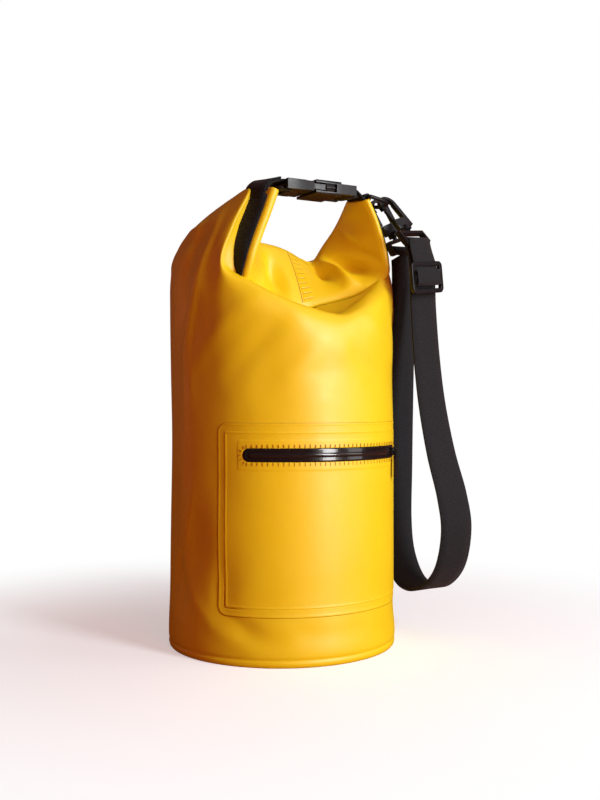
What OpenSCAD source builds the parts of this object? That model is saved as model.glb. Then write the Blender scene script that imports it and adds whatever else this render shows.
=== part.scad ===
// Roll-top dry bag: welded tube, rolled mouth closed over itself by a side-release buckle,
// zipped front pocket, and an adjustable shoulder strap clipped to a ring.
// Millimetres, +Z up, front (pocket side) towards -Y, mouth along X, origin at the base's centre.

/* [Bag] */
// outer radius of the bag
bag_r = 100; // [80:1:130]
// height of the straight tube
tube_h = 262; // [180:1:320]
// thickness of the coated fabric
skin = 1; // [0.8:0.1:1.6]
// height of the welded band at the base
band_h = 9; // [4:0.5:16]

/* [Rolled mouth] */
// height of the flat roll
roll_h = 55; // [35:1:70]
// thickness of the roll
roll_t = 9; // [6:0.5:16]
// half the length of the roll's middle
roll_half = 60; // [45:1:70]
// width of the roll where it stands up as an ear
ear_w = 28; // [22:1:36]
// width of the closure webbing
web_w = 25; // [20:1:30]
// thickness of the closure webbing
web_t = 1.6; // [1:0.1:2.4]

/* [Buckle] */
// half the length of the closed buckle
buckle_half = 34; // [28:1:40]
// width of the buckle
buckle_w = 34; // [30:1:42]
// thickness of the socket
buckle_t = 11.5; // [9:0.5:14]
// height of the buckle's middle above the floor
buckle_z = 399; // [340:1:450]
// how far the buckle stands in front of the bag's axis
buckle_y = -55; // [-70:1:0]

/* [Front pocket] */
// bottom of the pocket
pocket_z0 = 40; // [20:1:80]
// top of the pocket
pocket_z1 = 200; // [140:1:240]
// half the angle that the pocket covers
pocket_a = 60.4; // [40:0.2:80]
// height of the zip's middle
zip_z = 173; // [120:1:190]
// half the angle that the zip covers
zip_a = 47.6; // [30:1:60]
// height of the zip's coated tape
zip_h = 11.3; // [8:0.1:16]

/* [Strap] */
// width of the shoulder strap
strap_w = 38; // [25:1:50]
// thickness of the shoulder strap
strap_t = 1.8; // [1.2:0.1:3]
// wire radius of the ring
ring_wire = 1.75; // [1.2:0.05:2.5]

/* [Hidden] */
$fn = 48;
yellow = [0.93, 0.76, 0.05];
black = [0.07, 0.07, 0.08];
ring_hinge = [50, buckle_y, 396];
ring_tip = [74, buckle_y, 392];
// hooks: where the ring's wire passes, and where the strap's bar is
hook_a_top = [72.6, -61.5, 392.2];
hook_a_bar = [90, -84, 357];
hook_b_top = [72.6, -48.5, 392.2];
hook_b_bar = [90, -57, 356];
bar_a = [0.88, 0.43, 0.11];
bar_b = [0.86, 0.5, 0.1];
glide_at = [96.6, -91.2, 326];
glide_dir = [0.12, 0.02, -1];

// ---------- helpers ----------

function unit(v) = v / norm(v);

// a right-handed frame at o: z along zd, x as near xd as it can be
module place(o, xd, zd) {
    z = unit(zd);
    x = unit(xd - (xd * z) * z);
    y = cross(z, x);
    multmatrix([
        [x[0], y[0], z[0], o[0]],
        [x[1], y[1], z[1], o[1]],
        [x[2], y[2], z[2], o[2]],
        [0, 0, 0, 1]
    ]) children();
}

// a ring wall from r0 to r1, h tall, over an angle centred on the front
module front_arc(r0, r1, z0, h, a) {
    translate([0, 0, z0])
        rotate([0, 0, -90 - a])
            rotate_extrude(angle = 2 * a, $fn = 96)
                translate([r0, 0])
                    square([r1 - r0, h]);
}

// a flat bar with two round edges: w across x, t through y, l along z
module stadium(w, t, l) {
    linear_extrude(height = l) {
        square([w - t, t], center = true);
        translate([(w - t) / 2, 0])
            circle(d = t);
        translate([-(w - t) / 2, 0])
            circle(d = t);
    }
}

// a plate with round corners, in x and y, t thick upward
module round_plate(lx, ly, r, t) {
    linear_extrude(height = t) {
        square([lx - 2 * r, ly], center = true);
        square([lx, ly - 2 * r], center = true);
        for (sx = [-1, 1], sy = [-1, 1])
            translate([sx * (lx / 2 - r), sy * (ly / 2 - r)])
                circle(r = r);
    }
}

// ---------- the fabric above the tube ----------
// f runs from 0 at the front to 180 at the back; the left ear stands a little wider

function top_x(f) = lookup(f, [
    [0, 0], [15, 24], [28, 44], [40, 68], [50, 80], [60, 74], [75, 61],
    [90, 51], [105, 52], [120, 58], [135, 66], [152, 44], [180, 0]
]);
function top_y(f) = lookup(f, [
    [0, -39], [15, -43], [28, -50], [40, -57], [50, -58], [60, -60], [75, -62],
    [90, -52], [105, -36], [120, -30], [135, -22], [152, -13], [180, -8]
]);
function top_z(f) = lookup(f, [
    [0, 296], [15, 297], [28, 301], [40, 312], [50, 328], [60, 346], [75, 374],
    [90, 390], [105, 383], [120, 368], [135, 357], [152, 353], [180, 353]
]);
function mid_z(f) = lookup(f, [
    [0, 301], [15, 303], [28, 307], [40, 316], [50, 330], [60, 350], [75, 370],
    [90, 382], [105, 388], [120, 388], [135, 378], [152, 366], [180, 357]
]);

// a point of the fabric: a turns round the bag, v climbs from the tube to the roll
function fold_angle(a) = abs(((a + 90 + 540) % 360) - 180);
function side_of(a, f) = cos(a) >= 0
    ? lookup(f, [[0, 1], [50, 0.95], [75, 0.99], [90, 1]])
    : -lookup(f, [[0, 1], [50, 1.05], [75, 1.02], [90, 1]]);
function skin_point(a, v) =
    let (
        f = fold_angle(a),
        p0 = [bag_r * cos(a), bag_r * sin(a), tube_h],
        p1 = [bag_r * 0.985 * cos(a), bag_r * 0.985 * sin(a), mid_z(f)],
        p2 = [side_of(a, f) * top_x(f), top_y(f), top_z(f)]
    )
    (1 - v) * (1 - v) * p0 + 2 * v * (1 - v) * p1 + v * v * p2;
function skin_normal(a, v) =
    let (
        va = min(v, 0.97),
        du = skin_point(a + 1.5, va) - skin_point(a - 1.5, va),
        dv = skin_point(a, va + 0.03) - skin_point(a, max(va - 0.03, 0))
    )
    unit(cross(du, dv));

module skin_patch(a0, a1, nu, nv) {
    grid = [
        for (k = [0, 1], i = [0 : nu], j = [0 : nv])
            let (a = a0 + (a1 - a0) * i / nu, v = j / nv)
            skin_point(a, v) - k * skin * skin_normal(a, v)
    ];
    n = (nu + 1) * (nv + 1);
    function id(k, i, j) = k * n + i * (nv + 1) + j;
    faces = concat(
        [for (i = [0 : nu - 1], j = [0 : nv - 1], h = [0, 1])
            h == 0 ? [id(0, i, j), id(0, i, j + 1), id(0, i + 1, j + 1)]
                : [id(0, i, j), id(0, i + 1, j + 1), id(0, i + 1, j)]],
        [for (i = [0 : nu - 1], j = [0 : nv - 1], h = [0, 1])
            h == 0 ? [id(1, i, j), id(1, i + 1, j + 1), id(1, i, j + 1)]
                : [id(1, i, j), id(1, i + 1, j), id(1, i + 1, j + 1)]],
        [for (i = [0 : nu - 1], e = [0, nv], h = [0, 1])
            let (q = e == 0
                ? [id(0, i, e), id(0, i + 1, e), id(1, i + 1, e), id(1, i, e)]
                : [id(0, i + 1, e), id(0, i, e), id(1, i, e), id(1, i + 1, e)])
            h == 0 ? [q[0], q[1], q[2]] : [q[0], q[2], q[3]]],
        [for (j = [0 : nv - 1], e = [0, nu], h = [0, 1])
            let (q = e == 0
                ? [id(0, e, j + 1), id(0, e, j), id(1, e, j), id(1, e, j + 1)]
                : [id(0, e, j), id(0, e, j + 1), id(1, e, j + 1), id(1, e, j)])
            h == 0 ? [q[0], q[1], q[2]] : [q[0], q[2], q[3]]]
    );
    polyhedron(points = grid, faces = faces);
}

// ---------- bag ----------

module body_tube() {
    color(yellow)
        difference() {
            cylinder(h = tube_h, r = bag_r, $fn = 96);
            translate([0, 0, -1])
                cylinder(h = tube_h + 2, r = bag_r - skin, $fn = 96);
        }
}

module base_disc() {
    color(yellow)
        cylinder(h = 1.6, r = bag_r - skin, $fn = 96);
}

module base_weld_band() {
    color(yellow)
        difference() {
            cylinder(h = band_h, r = bag_r + 0.6, $fn = 96);
            translate([0, 0, -1])
                cylinder(h = band_h + 2, r = bag_r, $fn = 96);
        }
}

module back_seam_tape() {
    color(yellow)
        translate([0, 0, band_h])
            rotate([0, 0, 87])
                rotate_extrude(angle = 6, $fn = 96)
                    translate([bag_r, 0])
                        square([0.5, tube_h - band_h]);
}

module front_lip_panel() {
    color(yellow)
        skin_patch(242, 298, 16, 12);
}

module back_shoulder_panel() {
    color(yellow)
        skin_patch(62, 118, 16, 12);
}

module shoulder_left() {
    color(yellow)
        skin_patch(118, 242, 28, 12);
}

module shoulder_right() {
    color(yellow)
        skin_patch(-62, 62, 28, 12);
}

// ---------- rolled mouth ----------
// the middle leans back, its face towards the front; the ears stand up to the buckle

mid_face = [0, -23.5, 326];
mid_up = unit([0, 29, 50]);
mid_back = unit([0, 50, -29]);
ear_foot = [66, -51, 324];
ear_tip = [42.5, -54.5, 384];
ear_out = unit([62, 0, 27.5]);

module roll_middle() {
    color(yellow)
        place(mid_face + mid_back * roll_t / 2 - [roll_half, 0, 0], mid_up, [1, 0, 0])
            stadium(roll_h, roll_t, 2 * roll_half);
}

module ear_roll(s) {
    foot = [s * ear_foot[0], ear_foot[1], ear_foot[2]];
    tip = [s * ear_tip[0], ear_tip[1], ear_tip[2]];
    place(foot, [0, 1, 0], tip - foot)
        stadium(ear_w, roll_t, norm(tip - foot));
}

module roll_left() {
    color(yellow)
        ear_roll(-1);
}

module roll_right() {
    color(yellow)
        ear_roll(1);
}

// ---------- closure webbing ----------

module closure_webbing_middle() {
    at = mid_face + mid_back * (roll_t + web_t / 2 + 0.1) - mid_up * (roll_h - web_w) / 2;
    color(black)
        place(at - [roll_half, 0, 0], mid_up, [1, 0, 0])
            linear_extrude(height = 2 * roll_half)
                square([web_w, web_t], center = true);
}

module ear_webbing(s) {
    out = [s * ear_out[0], ear_out[1], ear_out[2]];
    lift = out * (roll_t / 2 + web_t / 2 + 0.1);
    foot = [s * ear_foot[0], ear_foot[1], ear_foot[2]] + lift;
    tip = [s * ear_tip[0], ear_tip[1], ear_tip[2]] + lift;
    bar = [s * (buckle_half - 1.7), buckle_y, buckle_z];
    place(foot, [0, 1, 0], tip - foot)
        linear_extrude(height = norm(tip - foot) + 8)
            square([web_w, web_t], center = true);
    // the end that is turned round the buckle's bar and sewn back
    difference() {
        translate(bar)
            rotate([90, 0, 0])
                cylinder(h = web_w, r = 3.6, center = true);
        translate(bar)
            rotate([90, 0, 0])
                cylinder(h = web_w + 2, r = 1.85, center = true);
    }
    tail = tip + 7.5 * unit(tip - foot);
    seat = bar + [s * 2.4, 0, -1.2];
    place(seat, [0, 1, 0], tail - seat)
        linear_extrude(height = norm(tail - seat))
            square([web_w, 1.7], center = true);
}

module closure_webbing_left() {
    color(black)
        ear_webbing(-1);
}

module closure_webbing_right() {
    color(black)
        ear_webbing(1);
}

// ---------- side-release buckle ----------

module at_buckle() {
    translate([0, buckle_y, buckle_z])
        children();
}

module bar_end(s) {
    // a frame with a round bar that the webbing turns about
    difference() {
        translate([s * (buckle_half - 9), 0, 0])
            cube([18, buckle_w, 8.5], center = true);
        translate([s * (buckle_half - 4.2), 0, 0])
            cube([8.6, web_w + 1.5, 12], center = true);
    }
    translate([s * (buckle_half - 1.7), 0, 0])
        rotate([90, 0, 0])
            cylinder(h = buckle_w - 4, r = 1.7, center = true, $fn = 32);
}

module buckle_male() {
    color(black)
        at_buckle() {
            bar_end(-1);
            translate([-12.5, 0, 0])
                cube([8, buckle_w - 0.5, 8], center = true);
            translate([-1.5, 0, 0])
                cube([18, 8, 3.4], center = true);
        }
}

module arm(s) {
    // the sprung arm with the button that shows in the socket's side
    translate([-2.1, s * (buckle_w / 2 - 2.4), 0])
        cube([11.6, 3, 4.6], center = true);
    translate([7.5, s * (buckle_w / 2 - 3), 0])
        cube([8.4, 6, 5.6], center = true);
    translate([7.5, s * (buckle_w / 2 - 0.4), 0])
        rotate([0, 90, 0])
            cylinder(h = 8.4, r = 1.4, center = true, $fn = 24);
}

module buckle_arm_front() {
    color(black)
        at_buckle()
            arm(-1);
}

module buckle_arm_back() {
    color(black)
        at_buckle()
            arm(1);
}

module buckle_female() {
    color(black)
        at_buckle() {
            bar_end(1);
            difference() {
                translate([-6.5, -buckle_w / 2, -buckle_t / 2])
                    cube([25, buckle_w, buckle_t]);
                translate([-8, -buckle_w / 2 - 1, -3.4])
                    cube([22, buckle_w + 2, 6.8]);
            }
        }
}

// ---------- ring and its tab ----------

module dee_tab() {
    color(black) {
        difference() {
            translate(ring_hinge)
                rotate([90, 0, 0])
                    cylinder(h = 20, r = 3.7, center = true);
            translate(ring_hinge)
                rotate([90, 0, 0])
                    cylinder(h = 22, r = ring_wire + 0.35, center = true);
        }
        place(ring_hinge - ear_out * 4.3, [0, 1, 0], [ear_out[2], 0.05, -ear_out[0]])
            linear_extrude(height = 18)
                square([20, 1.5], center = true);
    }
}

module dee_ring() {
    away = ring_tip - ring_hinge;
    color(black)
        place(ring_hinge, [0, 1, 0], away) {
            rotate([0, 90, 0])
                cylinder(h = 30, r = ring_wire, center = true, $fn = 32);
            for (s = [-1, 1]) {
                translate([s * 15, 0, 0])
                    cylinder(h = norm(away) - 15, r = ring_wire, $fn = 32);
                translate([s * 15, 0, 0])
                    sphere(r = ring_wire, $fn = 32);
            }
            translate([0, 0, norm(away) - 15])
                rotate([90, 0, 0])
                    rotate_extrude(angle = 180)
                        translate([15, 0])
                            circle(r = ring_wire, $fn = 32);
        }
}

// ---------- swivel snap hooks ----------
// local frame: z up the hook to the ring, x across its mouth

hook_len = 32;
hook_w = 19;
hook_t = 4.2;

module hook_frame() {
    // the bow, its spine, its short nose and the foot that turns on the swivel
    rotate([90, 0, 0])
        translate([0, -hook_w / 2 + 7.8, 0]) {
            difference() {
                cylinder(h = hook_t, r = hook_w / 2, center = true);
                cylinder(h = hook_t + 2, r = hook_w / 2 - 3, center = true);
                translate([-15, -30, -5])
                    cube([30, 30, 10]);
            }
            translate([hook_w / 2 - 3.8, -16.4, -hook_t / 2])
                cube([3.8, 16.4, hook_t]);
            translate([-hook_w / 2, -2.5, -hook_t / 2])
                cube([3.8, 2.5, hook_t]);
            translate([-hook_w / 2 + 1.6, -25.8, -hook_t / 2])
                cube([hook_w - 1.6, 9.9, hook_t]);
        }
    translate([0, 0, -31])
        difference() {
            cylinder(h = 5, r = 4.6);
            translate([0, 0, -1])
                cylinder(h = 4.5, r = 2.3);
        }
}

module hook_gate() {
    // a thin sprung tongue, hinged at its foot, that closes the mouth
    translate([-hook_w / 2 + 1.5, -1.3, -17.3])
        cube([1.8, 2.6, 12.2]);
}

module hook_swivel() {
    // a headed post under a rectangular eye for the strap
    translate([0, 0, -33.5])
        cylinder(h = 5.8, r = 2, $fn = 32);
    difference() {
        translate([0, 0, -37.2])
            cube([strap_w + 9, 5, 8], center = true);
        translate([0, 0, -39.8])
            cube([strap_w + 2.6, 7, 7.6], center = true);
    }
    for (s = [-1, 1])
        translate([s * (strap_w / 2 + 2.9), 0, -42.5])
            cube([3.2, 5, 6], center = true);
    translate([0, 0, -44.5])
        rotate([0, 90, 0])
            cylinder(h = strap_w + 8, r = 2, center = true, $fn = 32);
}

// the frame turns on its post, so its mouth lies across the ring's wire
module at_hook(top, bar, side) {
    place(top, side, top - bar)
        children();
}

module hook_a_frame() {
    color(black)
        at_hook(hook_a_top, hook_a_bar, [1, 0, 0])
            hook_frame();
}

module hook_a_gate() {
    color(black)
        at_hook(hook_a_top, hook_a_bar, [1, 0, 0])
            hook_gate();
}

module hook_a_swivel() {
    color(black)
        at_hook(hook_a_top, hook_a_bar, bar_a)
            hook_swivel();
}

module hook_b_frame() {
    color(black)
        at_hook(hook_b_top, hook_b_bar, [1, 0, 0])
            hook_frame();
}

module hook_b_gate() {
    color(black)
        at_hook(hook_b_top, hook_b_bar, [1, 0, 0])
            hook_gate();
}

module hook_b_swivel() {
    color(black)
        at_hook(hook_b_top, hook_b_bar, bar_b)
            hook_swivel();
}

// ---------- strap ----------
// the loop hangs from the front hook's bar, round its lowest bend, up to the rear hook's bar

function eye_at(top, bar) = top - unit(top - bar) * 44.5;
eye_a = eye_at(hook_a_top, hook_a_bar);
eye_b = eye_at(hook_b_top, hook_b_bar);

// a point below a hook's bar, square to it
function below(eye, off, along) = eye + off - (off * unit(along)) * unit(along);

strap_path = [
    below(eye_a, [1.6, 1.6, -3.4], bar_a), [92.3, -84.7, 340.6], [96.6, -82.7, 322],
    [101, -78.5, 298], [107, -75, 258], [113, -75, 215], [121, -78, 170], [130, -82, 132],
    [136, -81, 100], [138, -70, 66], [135, -53, 46], [131, -35, 41], [129, -17, 49],
    [129, -3, 72], [129, 1, 104], [128.5, -1.5, 150], [125, -8, 200],
    [118, -20, 245], [110, -35.5, 290], [97.5, -50.5, 328], below(eye_b, [1.4, 1.6, -3.6], bar_b)
];
strap_turn = [26, 22, 20, 19, 17, 15, 12, 9, 7, 5, 4, 4, 5, 7, 9, 11, 13, 17, 22, 27, 30];

function spline(p, i, t) =
    let (
        n = len(p) - 1,
        a = p[max(i - 1, 0)],
        b = p[i],
        c = p[min(i + 1, n)],
        d = p[min(i + 2, n)]
    )
    0.5 * (2 * b + (c - a) * t + (2 * a - 5 * b + 4 * c - d) * t * t
        + (3 * b - 3 * c + d - a) * t * t * t);

// the direction of a hook's strap bar
function bar_way(top, bar, along) =
    let (z = unit(top - bar))
    unit(along - (along * z) * z);

module ribbon(path, turn, w, t, steps, first, last) {
    m = (len(path) - 1) * steps;
    at = [for (k = [0 : m]) spline(path, min(floor(k / steps), len(path) - 2),
        k == m ? 1 : k / steps - floor(k / steps))];
    tw = [for (k = [0 : m]) spline(turn, min(floor(k / steps), len(path) - 2),
        k == m ? 1 : k / steps - floor(k / steps))];
    pts = [
        for (k = [0 : m])
            let (
                run = unit(at[min(k + 1, m)] - at[max(k - 1, 0)]),
                near = k < m / 2 ? first : last,
                ease = min(min(k, m - k) / 8, 1),
                flat = near * (1 - ease) + [cos(tw[k]), sin(tw[k]), 0] * ease,
                x = k == 0 || k == m ? near : unit(flat - (flat * run) * run),
                y = cross(run, x)
            )
            for (q = [[-1, -1], [1, -1], [1, 1], [-1, 1]])
                at[k] + q[0] * x * w / 2 + q[1] * y * t / 2
    ];
    sides = [
        for (k = [0 : m - 1], s = [0 : 3], h = [0, 1])
            let (
                a = 4 * k + s,
                b = 4 * k + (s + 1) % 4
            )
            h == 0 ? [a, b + 4, b] : [a, a + 4, b + 4]
    ];
    polyhedron(
        points = pts,
        faces = concat(sides, [[0, 1, 2], [0, 2, 3]],
            [[4 * m, 4 * m + 2, 4 * m + 1], [4 * m, 4 * m + 3, 4 * m + 2]])
    );
}

module strap_end(top, bar, along) {
    // the sewn end, turned round a hook's bar
    at_hook(top, bar, along)
        translate([0, 0, -44.5])
            rotate([0, 90, 0])
                difference() {
                    cylinder(h = strap_w - 0.5, r = 4, center = true);
                    cylinder(h = strap_w + 2, r = 2.05, center = true);
                }
}

module strap_webbing() {
    color(black) {
        ribbon(strap_path, strap_turn, strap_w, strap_t, 4,
            bar_way(hook_a_top, hook_a_bar, bar_a), bar_way(hook_b_top, hook_b_bar, bar_b));
        strap_end(hook_a_top, hook_a_bar, bar_a);
        strap_end(hook_b_top, hook_b_bar, bar_b);
    }
}

module at_glide() {
    place(glide_at, [cos(20), sin(20), 0], glide_dir)
        rotate([90, 0, 0])
            children();
}

module tri_glide() {
    color(black)
        at_glide()
            difference() {
                round_plate(49, 28, 5, 3.4);
                for (s = [-1, 1])
                    translate([0, s * 6.2, -1])
                        round_plate(40.5, 7.4, 1.5, 8);
            }
}

// the strap's free end, sewn round the glide's middle bar
module strap_fold() {
    color(black)
        at_glide()
            translate([-strap_w / 2 + 0.5, 0, 1.7])
                rotate([90, 0, 90])
                    difference() {
                        stadium(14.6, 7.4, strap_w - 1);
                        translate([-2.75, -2, -1])
                            cube([5.5, 4, strap_w + 2]);
                    }
}

// ---------- pocket and zip ----------

module pocket_panel() {
    color(yellow)
        difference() {
            front_arc(bag_r, bag_r + 0.8, pocket_z0, pocket_z1 - pocket_z0, pocket_a);
            front_arc(bag_r - 1, bag_r + 2, zip_z - zip_h / 2, zip_h, zip_a);
        }
}

module pocket_weld_border() {
    r = bag_r + 0.8;
    color(yellow)
        difference() {
            front_arc(r, r + 0.5, pocket_z0, pocket_z1 - pocket_z0, pocket_a);
            front_arc(r - 1, r + 2, pocket_z0 + 7, pocket_z1 - pocket_z0 - 14, pocket_a - 4);
        }
}

module zip_weld_frame() {
    r = bag_r + 0.8;
    color(yellow)
        difference() {
            front_arc(r, r + 0.5, zip_z - zip_h / 2 - 3.5, zip_h + 7, zip_a + 2);
            front_arc(r - 1, r + 2, zip_z - zip_h / 2, zip_h, zip_a);
        }
}

module zipper_tape_upper() {
    color(black)
        front_arc(bag_r + 0.1, bag_r + 1, zip_z + 0.3, zip_h / 2 - 0.35, zip_a - 0.05);
}

module zipper_tape_lower() {
    color(black)
        front_arc(bag_r + 0.1, bag_r + 1, zip_z - zip_h / 2 + 0.05, zip_h / 2 - 0.35,
            zip_a - 0.05);
}

module zipper_coil() {
    color(black)
        front_arc(bag_r + 1.02, bag_r + 1.7, zip_z - 1.1, 2.2, zip_a - 3.2);
}

module zipper_stops() {
    color(black)
        for (s = [-1, 1])
            rotate([0, 0, s * (zip_a - 1.8)])
                translate([0, -bag_r - 1.7, zip_z])
                    cube([1.6, 1.2, 5], center = true);
}

slider_a = 42.2;

module zipper_slider() {
    color(black)
        rotate([0, 0, slider_a])
            translate([0, -bag_r - 2.9, zip_z]) {
                cube([9, 2, 7], center = true);
                translate([0, -2.2, 0])
                    difference() {
                        cube([3, 2.6, 5], center = true);
                        cube([4, 1.7, 2.6], center = true);
                    }
            }
}

module zipper_puller() {
    // a pin through the slider's bridge, two cheeks and the tab that hangs from them
    color(black)
        rotate([0, 0, slider_a])
            translate([0, -bag_r - 5.1, zip_z]) {
                rotate([0, 90, 0])
                    cylinder(h = 6.4, r = 0.5, center = true, $fn = 24);
                for (s = [-1, 1])
                    translate([s * 2.7, 0, -2.6])
                        cube([1.2, 1, 6.4], center = true);
                translate([0, -0.1, -14])
                    cube([6.6, 1.3, 17], center = true);
            }
}

// ---------- draw ----------

body_tube();
base_disc();
base_weld_band();
back_seam_tape();
front_lip_panel();
back_shoulder_panel();
shoulder_left();
shoulder_right();
roll_middle();
roll_left();
roll_right();
closure_webbing_middle();
closure_webbing_left();
closure_webbing_right();
buckle_male();
buckle_arm_front();
buckle_arm_back();
buckle_female();
dee_tab();
dee_ring();
hook_a_frame();
hook_a_gate();
hook_a_swivel();
hook_b_frame();
hook_b_gate();
hook_b_swivel();
strap_webbing();
strap_fold();
tri_glide();
pocket_panel();
pocket_weld_border();
zip_weld_frame();
zipper_tape_upper();
zipper_tape_lower();
zipper_coil();
zipper_stops();
zipper_slider();
zipper_puller();
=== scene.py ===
import bmesh
import bpy
import math
import numpy as np
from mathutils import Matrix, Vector


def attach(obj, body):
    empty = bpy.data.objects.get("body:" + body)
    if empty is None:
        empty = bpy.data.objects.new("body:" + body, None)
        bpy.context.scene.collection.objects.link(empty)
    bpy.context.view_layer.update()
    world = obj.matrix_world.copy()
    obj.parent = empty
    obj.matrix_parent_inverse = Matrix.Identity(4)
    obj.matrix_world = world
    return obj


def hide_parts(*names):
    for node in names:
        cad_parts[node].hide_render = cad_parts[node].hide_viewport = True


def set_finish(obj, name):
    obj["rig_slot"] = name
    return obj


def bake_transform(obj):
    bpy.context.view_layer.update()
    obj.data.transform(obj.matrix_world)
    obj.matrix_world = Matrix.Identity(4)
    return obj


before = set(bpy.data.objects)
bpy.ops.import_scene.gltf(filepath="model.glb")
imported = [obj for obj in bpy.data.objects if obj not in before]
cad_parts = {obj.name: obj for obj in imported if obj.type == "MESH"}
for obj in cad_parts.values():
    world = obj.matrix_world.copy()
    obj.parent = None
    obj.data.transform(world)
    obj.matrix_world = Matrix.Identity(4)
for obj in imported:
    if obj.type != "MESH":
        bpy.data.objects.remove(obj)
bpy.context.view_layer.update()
MM = 0.001
TUBE_R = 100.0
ARC = 1.7453  # mm along the tube's outside to a degree
FRONT = -90  # the direction of the bag's front, in degrees

# ---------------------------------------------------------------- camera, lights, floor

scene = bpy.context.scene
scene.view_settings.view_transform = "Standard"

cam = bpy.data.objects.new("camera", bpy.data.cameras.new("camera"))
scene.collection.objects.link(cam)
scene.camera = cam
side, away = Vector((0.866, -0.5, 0)), Vector((0.5, 0.866, 0))
cam.location = -away * 0.928 + side * 0.0164 + Vector((0, 0, 0.218))
cam.rotation_euler = (math.radians(90), 0, math.radians(-30))
cam.data.lens = 45.9
cam.data.sensor_width = 36
cam.data.clip_start = 0.01


def lamp(name, where, at, size, power, colour=(1, 1, 1)):
    """A soft box of that size in metres and power in watts, aimed at a point."""
    data = bpy.data.lights.new(name, "AREA")
    data.shape = "RECTANGLE"
    data.size, data.size_y = size
    data.energy = power
    data.color = colour
    o = bpy.data.objects.new(name, data)
    scene.collection.objects.link(o)
    o.location = where
    o.rotation_euler = (Vector(at) - Vector(where)).to_track_quat("-Z", "Y").to_euler()
    return o


def from_camera(right, forward, up):
    """A point in metres to the camera's right, past the bag and above the floor."""
    return side * right + away * forward + Vector((0, 0, up))


lamp("key", from_camera(1.25, -1.15, 0.6), (0, 0, 0.2), (0.42, 1.5), 32)
warm = lamp("warm", from_camera(0.6, -1.5, 0.6), (0, 0, 0.2), (0.6, 1.1), 6, (1, 0.1, 0.03))
warm.visible_glossy = False
lamp("side", from_camera(1.5, -0.35, 0.5), (0, 0, 0.2), (0.5, 1.2), 4)
lamp("top", from_camera(0.7, 0.1, 1.6), (0, 0, 0.2), (0.9, 0.7), 1.5)
lamp("rim", from_camera(-1.4, 0.5, 0.4), (0, 0, 0.15), (0.3, 0.8), 1.2, (1, 0.3, 0.15))

world = bpy.data.worlds.new("world")
scene.world = world
world.use_nodes = True
wn, wl = world.node_tree.nodes, world.node_tree.links
wn.clear()
seen, dim = wn.new("ShaderNodeBackground"), wn.new("ShaderNodeBackground")
seen.inputs["Color"].default_value = (1, 1, 1, 1)
seen.inputs["Strength"].default_value = 1.0
dim.inputs["Color"].default_value = (1, 0.32, 0.27, 1)
dim.inputs["Strength"].default_value = 0.17
path, pick = wn.new("ShaderNodeLightPath"), wn.new("ShaderNodeMixShader")
out = wn.new("ShaderNodeOutputWorld")
wl.new(path.outputs["Is Camera Ray"], pick.inputs[0])
wl.new(dim.outputs[0], pick.inputs[1])
wl.new(seen.outputs[0], pick.inputs[2])
wl.new(pick.outputs[0], out.inputs[0])

floor_mesh = bpy.data.meshes.new("floor")
floor_mesh.from_pydata([(-6, -6, 0), (6, -6, 0), (6, 6, 0), (-6, 6, 0)], [], [(0, 1, 2, 3)])
floor = bpy.data.objects.new("floor", floor_mesh)
scene.collection.objects.link(floor)


# ---------------------------------------------------------------- materials

def material(name, colour, roughness, **more):
    """A Principled material; more sets other inputs, with _ for each space in a name."""
    m = bpy.data.materials.new(name)
    m.use_nodes = True
    b = m.node_tree.nodes["Principled BSDF"]
    b.inputs["Base Color"].default_value = (*colour, 1)
    b.inputs["Roughness"].default_value = roughness
    for key, value in more.items():
        b.inputs[key.replace("_", " ")].default_value = value
    return m


def noise(m, scale, detail=4.0, rough=0.55):
    """The value of a noise texture over the piece's own coordinates, in metres."""
    n, l = m.node_tree.nodes, m.node_tree.links
    co, tx = n.new("ShaderNodeTexCoord"), n.new("ShaderNodeTexNoise")
    tx.inputs["Scale"].default_value = scale
    tx.inputs["Detail"].default_value = detail
    tx.inputs["Roughness"].default_value = rough
    l.new(co.outputs["Object"], tx.inputs["Vector"])
    return tx.outputs["Fac"]


def bump(m, heights):
    """Chains bump nodes: heights is a list of (socket, strength, distance)."""
    n, l = m.node_tree.nodes, m.node_tree.links
    last = None
    for socket, strength, distance in heights:
        b = n.new("ShaderNodeBump")
        b.inputs["Strength"].default_value = strength
        b.inputs["Distance"].default_value = distance
        l.new(socket, b.inputs["Height"])
        if last is not None:
            l.new(last.outputs[0], b.inputs["Normal"])
        last = b
    l.new(last.outputs[0], n["Principled BSDF"].inputs["Normal"])


def vary(m, socket, low, high, target):
    """Drives an input of the material's shader between low and high."""
    n, l = m.node_tree.nodes, m.node_tree.links
    r = n.new("ShaderNodeMapRange")
    r.inputs["From Min"].default_value = 0.3
    r.inputs["From Max"].default_value = 0.7
    r.inputs["To Min"].default_value = low
    r.inputs["To Max"].default_value = high
    l.new(socket, r.inputs["Value"])
    l.new(r.outputs[0], n["Principled BSDF"].inputs[target])


def ramp(m, socket, first, last):
    """Colours the material between two stops, each a position and a colour."""
    n, l = m.node_tree.nodes, m.node_tree.links
    r = n.new("ShaderNodeValToRGB")
    e = r.color_ramp.elements
    for stop, (position, colour) in zip(e, (first, last)):
        stop.position, stop.color = position, (*colour, 1)
    l.new(socket, r.inputs["Fac"])
    l.new(r.outputs[0], n["Principled BSDF"].inputs["Base Color"])


def weave(m, scale_u, scale_v):
    """A ribbed webbing pattern along the UVs, which are in metres."""
    n, l = m.node_tree.nodes, m.node_tree.links
    uv = n.new("ShaderNodeUVMap")
    uv.uv_map = "run"
    found = []
    for axis, scale in (("X", scale_u), ("Y", scale_v)):
        w = n.new("ShaderNodeTexWave")
        w.bands_direction = axis
        w.inputs["Scale"].default_value = scale
        w.inputs["Distortion"].default_value = 0.6
        w.inputs["Detail Scale"].default_value = 2.0
        l.new(uv.outputs[0], w.inputs["Vector"])
        found.append(w.outputs["Fac"])
    return found


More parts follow.
